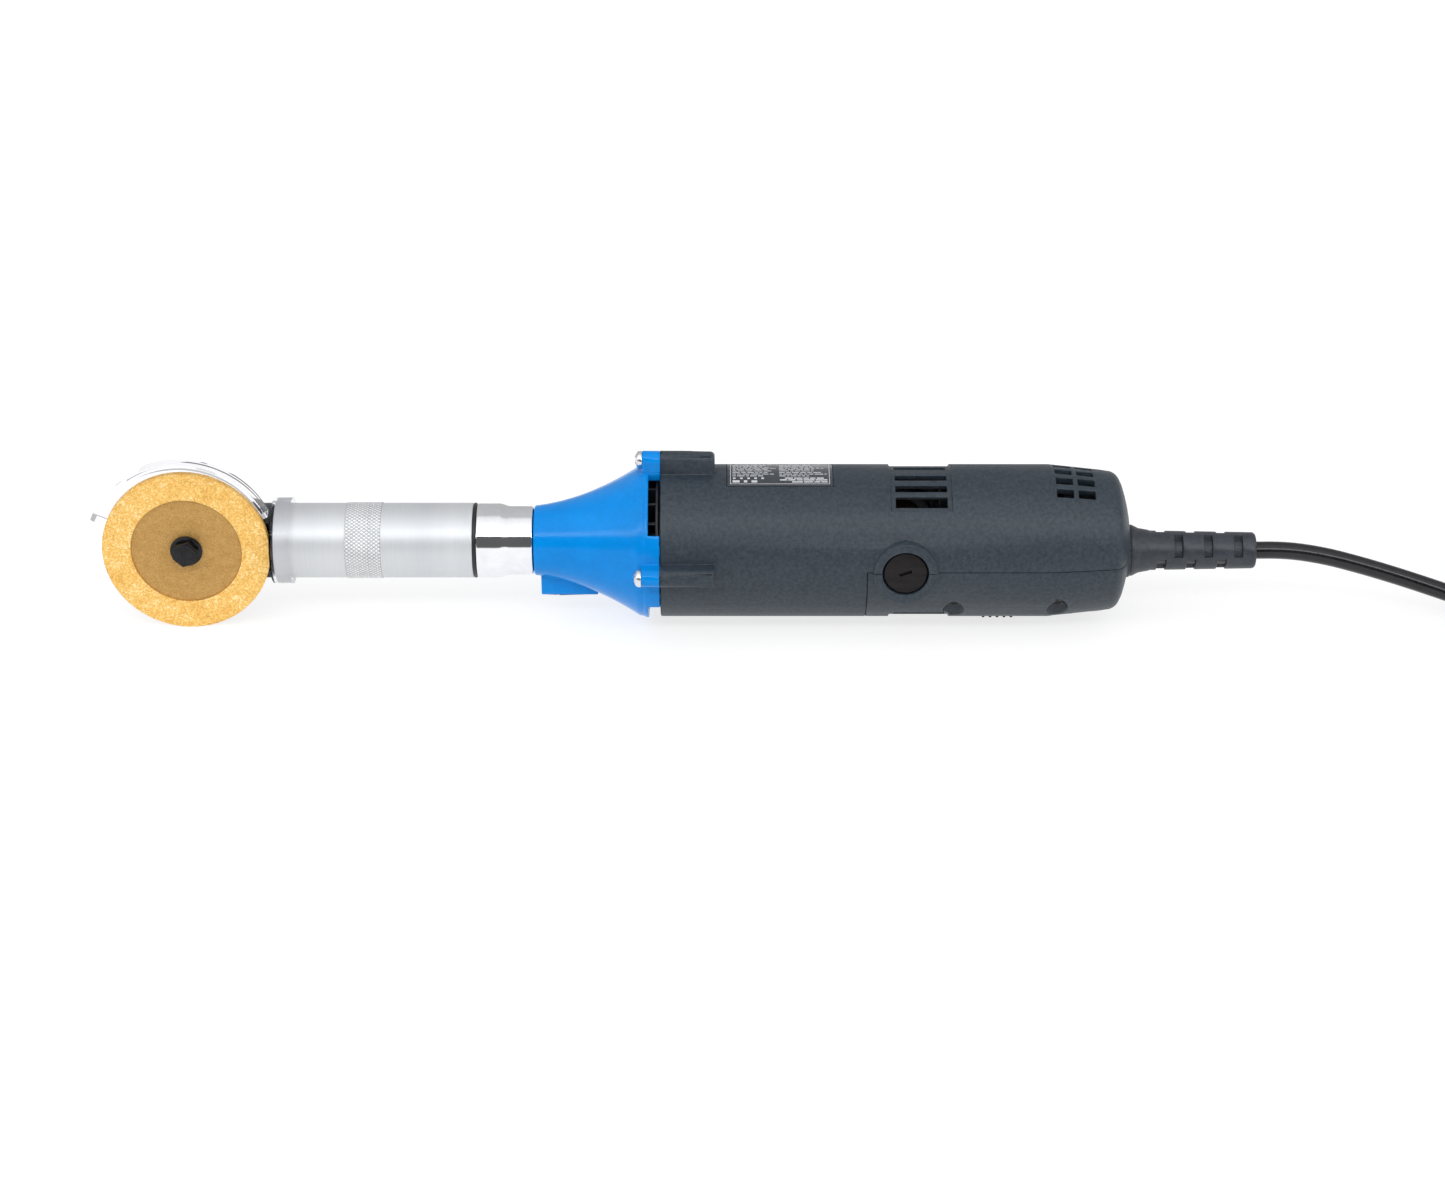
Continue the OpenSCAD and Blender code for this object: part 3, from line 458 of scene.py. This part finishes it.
def coil_points():
    """The turns, from where the lead lies down to where the tail rises"""
    points = []
    for turn, (r, z) in enumerate(COIL_TURNS):
        last = turn == len(COIL_TURNS) - 1
        for angle in range(TURN_STEP, (LAST_TURN if last else 360) + 1, TURN_STEP):
            t = 0 if last else eased(max(0, angle - 360 + SHIFT_ANGLE) / SHIFT_ANGLE)
            to_r, to_z = COIL_TURNS[min(turn + 1, len(COIL_TURNS) - 1)]
            radius = r + (to_r - r) * t
            a = math.radians(angle - 90)
            height = z + (to_z - z) * t
            points.append(COIL_MIDDLE + Vector((radius * math.cos(a), radius * math.sin(a), height)) * MM)
    return points


def smoothed(points, spacing):
    """Points along a Catmull-Rom curve through the given ones, about spacing apart"""
    out = []
    for i in range(len(points) - 1):
        p0 = points[max(i - 1, 0)]
        p1 = points[i]
        p2 = points[i + 1]
        p3 = points[min(i + 2, len(points) - 1)]
        steps = max(1, round((p2 - p1).length / spacing))
        for s in range(steps):
            t = s / steps
            out.append(0.5 * (2 * p1 + (p2 - p0) * t + (2 * p0 - 5 * p1 + 4 * p2 - p3) * t ** 2
                              + (3 * p1 - p0 - 3 * p2 + p3) * t ** 3))
    return out + [points[-1]]


def cord_route():
    """The cord's whole centreline, from the strain relief to the plug"""
    lead = [CORD_EXIT + Vector(p) * MM for p in LEAD_ROUTE]
    tail = [COIL_MIDDLE + Vector(p) * MM for p in TAIL_ROUTE]
    return smoothed(lead + coil_points() + tail, 3.5 * MM)


def make_cord():
    """One curve for the whole cord, in place of its three CAD solids"""
    route = cord_route()
    data = bpy.data.curves.new("mains_cord", "CURVE")
    data.dimensions = "3D"
    data.bevel_depth = CORD_D / 2
    data.bevel_resolution = 6
    data.use_fill_caps = True
    line = data.splines.new("POLY")
    line.points.add(len(route) - 1)
    for point, place_at in zip(line.points, route):
        point.co = (*place_at, 1)
    line.use_smooth = True
    data.materials.append(MATERIALS["cable"])
    obj = bpy.data.objects.new("mains_cord", data)
    bpy.context.scene.collection.objects.link(obj)
    stands_for(obj, "cord_lead", "cord_coil", "cord_tail")


# ---- Neck ----

KNURL_AT = 30.2 * MM   # from the tube's front end
KNURL_L = 15.3 * MM
KNURL_H = 0.3 * MM
KNURL_COUNT = 64
KNURL_PITCH = 2.1 * MM
KNURL_ROWS = 94
BORE_R = 13 * MM


def sawtooth(t):
    """1 at whole numbers, 0 halfway between them"""
    return abs(2 * (t - math.floor(t)) - 1)


def knurl_lift(x, r, a):
    """Height of the diamond knurl at a point of the tube's surface"""
    start = TUBE[0].x + KNURL_AT
    inside = min(x - start, start + KNURL_L - x) / KNURL_H
    if r < TUBE_R - 0.01 * MM or inside <= 0:
        return 0
    turn = KNURL_COUNT * a / (2 * math.pi)
    along = (x - start) / KNURL_PITCH
    ridge = min(sawtooth(turn + along), sawtooth(turn - along))
    return KNURL_H * min(1, inside) * (0.12 + 0.88 * min(1, 1.7 * ridge))


def paint_knurl(tube):
    """The knurled band keeps its bright, freshly cut metal on its ridges; its valleys get a darker copy of
    it, painted shade
    """
    tube.data.materials.append(KNURLED)
    tube.data.materials.append(KNURL_PAINTED_SHADE)
    start = TUBE[0].x + KNURL_AT
    for face in tube.data.polygons:
        outside = math.hypot(face.center.y, face.center.z - AXIS_Z) > TUBE_R - 0.2 * MM
        if outside and start < face.center.x < start + KNURL_L:
            a = math.atan2(face.center.z - AXIS_Z, face.center.y)
            ridge = knurl_lift(face.center.x, TUBE_R, a) > 0.5 * KNURL_H
            # valley faces take the darker copy: painted shade in the knurl's grooves
            face.material_index = 1 if ridge else 2


def make_tube():
    """The satin tube with its band of diamond knurling, cut into the surface"""
    x0 = TUBE[0].x
    x1 = TUBE[1].x
    ends = rounded([(x1, BORE_R), (x0, BORE_R), (x0, TUBE_R), (x0 + 30 * MM, TUBE_R)], 0.3 * MM)
    front = ends[:-5]
    band = [(x0 + KNURL_AT + (i - 1) * KNURL_L / KNURL_ROWS, TUBE_R) for i in range(KNURL_ROWS + 3)]
    rear = rounded([(x0 + 50 * MM, TUBE_R), (x1, TUBE_R), (x1, BORE_R)], 0.4 * MM)[5:10]
    outline = [tuple(p) for p in front[5:]] + band + [tuple(p) for p in rear] + [(x1, BORE_R)]
    tube = axis_lathe("satin_tube", outline, MATERIALS["aluminium"], KNURL_COUNT * 8, knurl_lift)
    paint_knurl(tube)
    stands_for(tube, "extension_tube")


def make_adapter():
    """The polished adapter, with a soft step between its two diameters"""
    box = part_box("neck_adapter")
    x0 = box[0].x
    at = lambda mm: x0 + mm * MM
    outline = rounded([
        (at(0), 9 * MM), (at(0), BORE_R), (at(11), BORE_R), (at(11), TUBE_R), (at(21.3), TUBE_R),
        (at(24.7), 14.8 * MM), (at(35), 14.8 * MM), (at(35), BORE_R), (box[1].x, BORE_R),
        (box[1].x, 9 * MM)], 0.9 * MM, 6)
    stands_for(axis_lathe("polished_adapter", outline, MATERIALS["chrome"], 160), "neck_adapter")


# ---- Wheel ----

WHEEL_STEPS = 640
GRIT_DEPTH = 0.17 * MM
RECESS_R = 23.6 * MM
SKIRT_R = 0.4 * MM
RECESS_DEPTH = 0.8 * MM


def grit_outline():
    """(radius, y, how much grit) around the ring's section"""
    front, back = GRIT[0].y, GRIT[1].y
    outer = (GRIT[1].x - GRIT[0].x) / 2
    corners = [
        (RECESS_R, front + RECESS_DEPTH, 0), (RECESS_R, front, 0.6), (outer, front, 0.8), (outer, back, 0.3),
        (outer - SKIRT_R, back, 0), (outer - SKIRT_R, front + RECESS_DEPTH, 0)]
    steps = [3, 36, 9, 1, 2, 8]
    out = []
    for i, count in enumerate(steps):
        r0, y0, g0 = corners[i]
        r1, y1, g1 = corners[(i + 1) % len(corners)]
        for s in range(count):
            t = s / count
            full = 1 if i in (1, 2) and s > 0 else 0
            out.append((r0 + (r1 - r0) * t, y0 + (y1 - y0) * t, max(full, g0 + (g1 - g0) * t)))
    return out


def make_grit_ring():
    """The coarse ring of the wheel: its grains are sunk and raised within the CAD solid"""
    outline = grit_outline()
    middle = (GRIT[0].y + GRIT[1].y) / 2
    points = []
    for s in range(WHEEL_STEPS):
        a = 2 * math.pi * s / WHEEL_STEPS
        for r, y, amount in outline:
            spot = Vector((r * math.cos(a), y, r * math.sin(a)))
            bumps = noise.noise(spot * 1500) * 0.6 + noise.noise(spot * 3100) * 0.4
            sink = GRIT_DEPTH * amount * min(1, max(0, 0.5 - bumps * 1.1))
            edge = r > RECESS_R + 11 * MM
            radius = r - sink if edge else r
            depth = y + (sink if y < middle else -sink * 0.2) if amount else y
            points.append((WHEEL.x + radius * math.cos(a), depth, WHEEL.z + radius * math.sin(a)))
    ring = mesh_piece("grit_ring_fine", points, grid_faces(WHEEL_STEPS, len(outline)),
                      MATERIALS["gold_grit"])
    stands_for(ring, "grit_ring")


# ---- Label print ----

LABEL_R = LABEL[1].z - AXIS_Z
INK_LIFT = 0.09 * MM
INK_STEP = 2.0         # degrees
LINE_H = 0.9           # degrees


def ink_bar(points, faces, x0, x1, low, high):
    """A thin closed bar on the label, between two x and two angles up from the front"""
    steps = max(1, round((high - low) / INK_STEP))
    first = len(points)
    for s in range(steps + 1):
        a = math.radians(low + (high - low) * s / steps)
        for x, lift in ((x0, -INK_LIFT), (x1, -INK_LIFT), (x1, INK_LIFT), (x0, INK_LIFT)):
            radius = LABEL_R + lift
            points.append((x, -radius * math.cos(a), AXIS_Z + radius * math.sin(a)))
    for s in range(steps):
        at = first + 4 * s
        for k in range(4):
            m = (k + 1) % 4
            faces.append((at + k, at + m, at + 4 + m, at + 4 + k))
    last = first + 4 * steps
    faces.append((first + 3, first + 2, first + 1, first))
    faces.append((last, last + 1, last + 2, last + 3))


def make_print():
    """Lines of unreadable print, small boxes and a frame"""
    x0 = LABEL[0].x + 1.2 * MM
    x1 = LABEL[1].x - 1.2 * MM
    low = math.degrees(math.acos(-LABEL[0].y / LABEL_R)) + 2.2
    high = 180 - math.degrees(math.acos(LABEL[1].y / LABEL_R)) - 2.2
    points, faces = [], []
    thin = 0.25 * MM
    ink_bar(points, faces, x0, x1, low, low + 0.4)
    ink_bar(points, faces, x0, x1, high - 0.4, high)
    ink_bar(points, faces, x0, x0 + thin, low + 0.5, high - 0.5)
    ink_bar(points, faces, x1 - thin, x1, low + 0.5, high - 0.5)
    draw = random.Random(7)
    middle = x0 + (x1 - x0) * 0.47
    row = low + 9.5
    while row < high - 3:
        for start, end in ((x0 + MM, middle), (middle + MM, x1 - MM)):
            reach = start + (end - start) * draw.uniform(0.6, 1.0)
            x = start
            while x < reach - 0.8 * MM:
                word = min(reach, x + draw.uniform(1.0, 4.2) * MM)
                ink_bar(points, faces, x, word, row, row + LINE_H)
                x = word + 0.55 * MM
        row += 2.6
    for x, wide in ((1.2, 1.1), (4.2, 1.1), (7.2, 1.1), (10.2, 1.1), (13.2, 1.1)):
        ink_bar(points, faces, x0 + x * MM, x0 + (x + wide) * MM, low + 5.9, low + 7.7)
    for x, wide in ((1.0, 3.0), (5.8, 1.4), (9.0, 2.4)):
        ink_bar(points, faces, x0 + x * MM, x0 + (x + wide) * MM, low + 1.7, low + 4.2)
    for height, first in ((1.7, 0.62), (4.1, 0.5), (6.3, 0.55)):
        x = x0 + (x1 - x0) * first
        while x < x1 - 2.5 * MM:
            word = min(x1 - MM, x + draw.uniform(2.0, 5.0) * MM)
            ink_bar(points, faces, x, word, low + height, low + height + 1.3)
            x = word + 0.5 * MM
    ink = mesh_piece("label_print", points, faces, LABEL_INK, smooth=False)
    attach(ink, NODES["rating_label"]["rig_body"])


# ---- Run ----

camera()
plug_pieces = [refined("mains_plug", 0.6 * MM), refined("plug_pins", 0.2 * MM), refined("cord_tie", 0.3 * MM)]
make_cord()

make_tube()
make_adapter()
make_grit_ring()
make_print()

FINE = {
    "motor_housing": 0.3, "lower_cover": 0.3, "nose_housing": 0.4, "cover_screws": 0.12,
    "nose_screws": 0.3, "clamp_screw": 0.25, "rating_label": 0.05, "brush_caps": 0.3,
    "strain_relief": 0.3, "switch_slider": 0.3, "seal_ring": 0.1, "head_housing": 0.3,
    "head_cap": 0.25, "head_cap_screws": 0.12, "guard_screws": 0.12,
    "grinding_wheel": 0.1, "wheel_washer": 0.15, "wheel_bolt": 0.3, "cooling_fan": 0.15,
}
for name, width in FINE.items():
    refined(name, width * MM)

for name, obj in NODES.items():
    if not obj.hide_render:
        obj.data.materials.clear()
        obj.data.materials.append(MATERIALS[SLOTS[name]])


# ---- Floor and light ----

FLOOR_HALF = 12.0
FLOOR_DROP = 0.2 * MM   # just under the pieces, so that none lies in it


def make_floor():
    """A plain pale floor that also glows, like a light table"""
    mat, tree, shader = new_material(
        "pale_floor", Emission_Color=(1, 1, 1, 1), Emission_Strength=0.76, Specular_IOR_Level=0.1)
    vector = place(tree)
    cloud = noise_of(tree, vector, 0.5, 2.0)
    tint = colours(tree, cloud, [(0.3, (0.28, 0.28, 0.28)), (0.7, (0.30, 0.30, 0.30))])
    tree.links.new(tint, shader.inputs["Base Color"])
    tree.links.new(levels(tree, cloud, 0.6, 0.7), shader.inputs["Roughness"])
    signs = [(-1, -1), (1, -1), (1, 1), (-1, 1)]
    points = [(x * FLOOR_HALF, y * FLOOR_HALF, -FLOOR_DROP) for x, y in signs]
    floor = mesh_piece("floor", points, [(0, 1, 2, 3)], mat, False)


LIGHT_STRENGTH = 6.0
# Brightness of the studio around the tool's axis: from the front horizon over the top to the back one
LIGHT_BANDS = [
    (0, 0.08), (3, 0.02), (36, 0.02), (39, 1.0), (46, 0.9), (50, 0.24), (98, 0.16),
    (108, 0.10), (180, 0.085)]


def make_light():
    """A soft box above the front, a dark gap below it, and a pale room behind"""
    world = bpy.data.worlds.new("studio")
    bpy.context.scene.world = world
    world.use_nodes = True
    tree = world.node_tree
    direction = node(tree, "TexCoord")
    split = node(tree, "SeparateXYZ")
    tree.links.new(direction.outputs["Generated"], split.inputs["Vector"])
    flip = node(tree, "Math")
    flip.operation = "MULTIPLY"
    flip.inputs[1].default_value = -1
    tree.links.new(split.outputs["Y"], flip.inputs[0])
    angle = node(tree, "Math")
    angle.operation = "ARCTAN2"
    tree.links.new(split.outputs["Z"], angle.inputs[0])
    tree.links.new(flip.outputs["Value"], angle.inputs[1])
    share = levels(tree, angle.outputs["Value"], 0, 1, 0, math.pi)
    stops = [(degrees / 180, (value, value, value * 1.01)) for degrees, value in LIGHT_BANDS]
    glow = colours(tree, share, stops)
    back = tree.nodes["Background"]
    back.inputs["Strength"].default_value = LIGHT_STRENGTH
    tree.links.new(glow, back.inputs["Color"])


make_floor()
make_light()
bpy.context.scene.view_settings.view_transform = "Standard"
